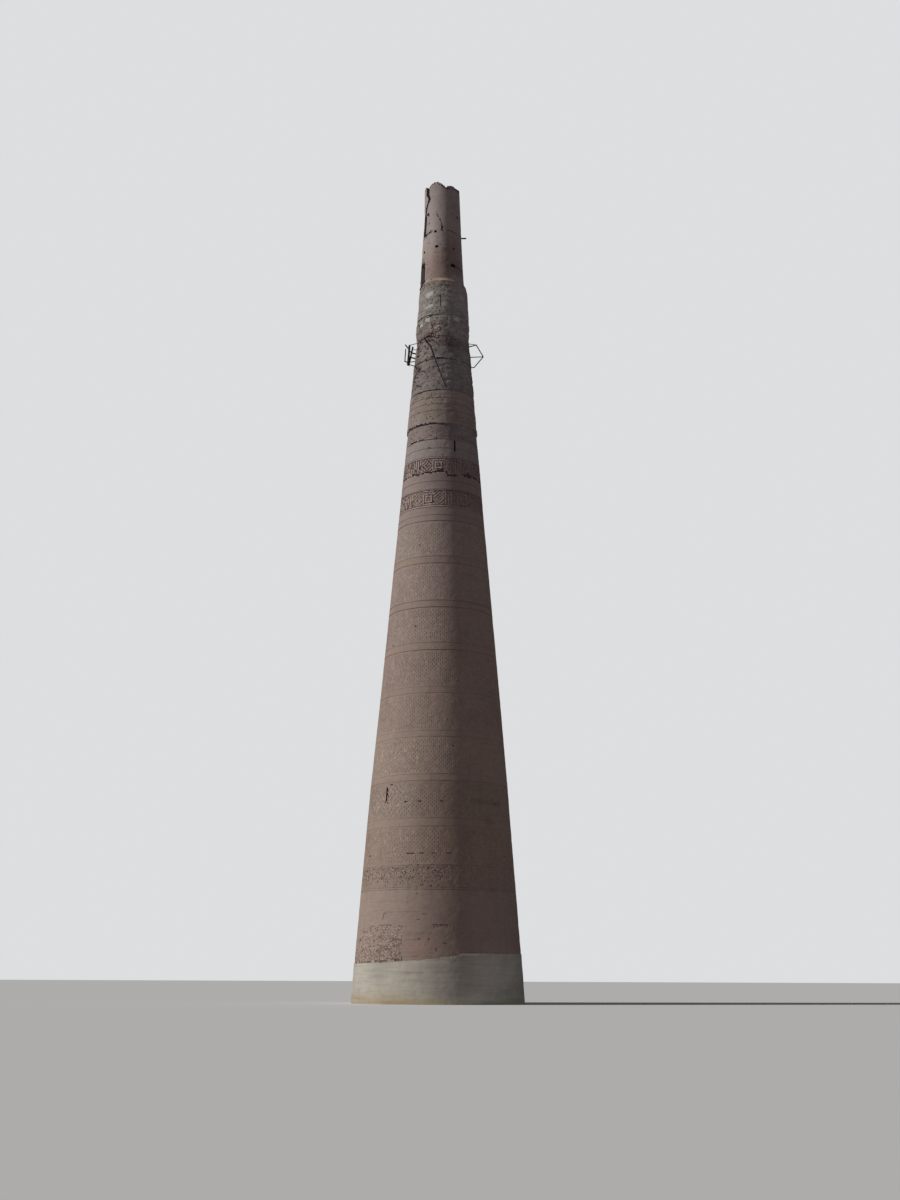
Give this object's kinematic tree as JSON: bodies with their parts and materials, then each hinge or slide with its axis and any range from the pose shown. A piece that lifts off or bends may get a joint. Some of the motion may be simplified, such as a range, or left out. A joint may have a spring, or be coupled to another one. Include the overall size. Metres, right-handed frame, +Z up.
{
  "type": "brick minaret, scale model at 1:2",
  "caption": "Tall tapered minaret of baked brick, hollow, with banded relief brickwork, slit windows, a doorway to a lost gallery and an open, broken crown. Half-size model.",
  "frame": {"origin": "centre of the flat underside of the foot course, on the tower's axis at ground level", "axes": "+Z up along the tower's axis; -Y towards the side seen in the picture; +X to the right of that view"},
  "size_m": [5.8, 5.8, 29.975],
  "materials": {
    "stained_plaster": "rough, stained foot of the rendered skirt",
    "plaster": "rough pale grey-beige render",
    "brick": "dry baked brick in plain courses, dusty",
    "patterned_brick": "dry baked brick laid in relief with dark plug holes",
    "carved_brick": "pitted ornamental brickwork with deep shadows",
    "worn_brick": "weathered grey-brown brick that has lost its facing",
    "upper_brick": "smoother, redder baked brick",
    "rusty_iron": "dark, rusty",
    "old_wood": "grey, split"
  },
  "bodies": {
    "root": {"foot_course": "stained_plaster", "plaster_skirt": "plaster", "lower_brick_drum": "brick", "lower_frieze": "carved_brick", "patterned_drum_1": "patterned_brick", "plain_band_1": "brick", "patterned_drum_2_foot": "patterned_brick", "patterned_drum_2_left": "patterned_brick", "patterned_drum_2_right": "patterned_brick", "patterned_drum_2_head": "patterned_brick", "plain_band_2": "brick", "patterned_drum_3": "patterned_brick", "plain_band_3": "brick", "patterned_drum_4": "patterned_brick", "plain_band_4": "brick", "patterned_drum_5": "patterned_brick", "plain_band_5": "brick", "patterned_drum_6": "patterned_brick", "plain_band_6": "brick", "patterned_drum_7": "patterned_brick", "plain_band_7": "brick", "patterned_drum_8": "patterned_brick", "plain_band_8": "brick", "middle_frieze": "carved_brick", "plain_band_9": "brick", "upper_frieze": "carved_brick", "slit_drum": "brick", "pitted_drum": "worn_brick", "toothed_lip": "carved_brick", "hooped_drum": "brick", "worn_drum_1": "worn_brick", "worn_drum_2": "worn_brick", "worn_drum_3": "worn_brick", "gallery_drum": "worn_brick", "gallery_ledge": "worn_brick", "upper_shaft_lower": "upper_brick", "upper_shaft_middle": "upper_brick", "crown_drum": "upper_brick", "left_iron_frame": "rusty_iron", "right_iron_frame": "rusty_iron", "wooden_peg": "old_wood"}
  },
  "joints": []
}
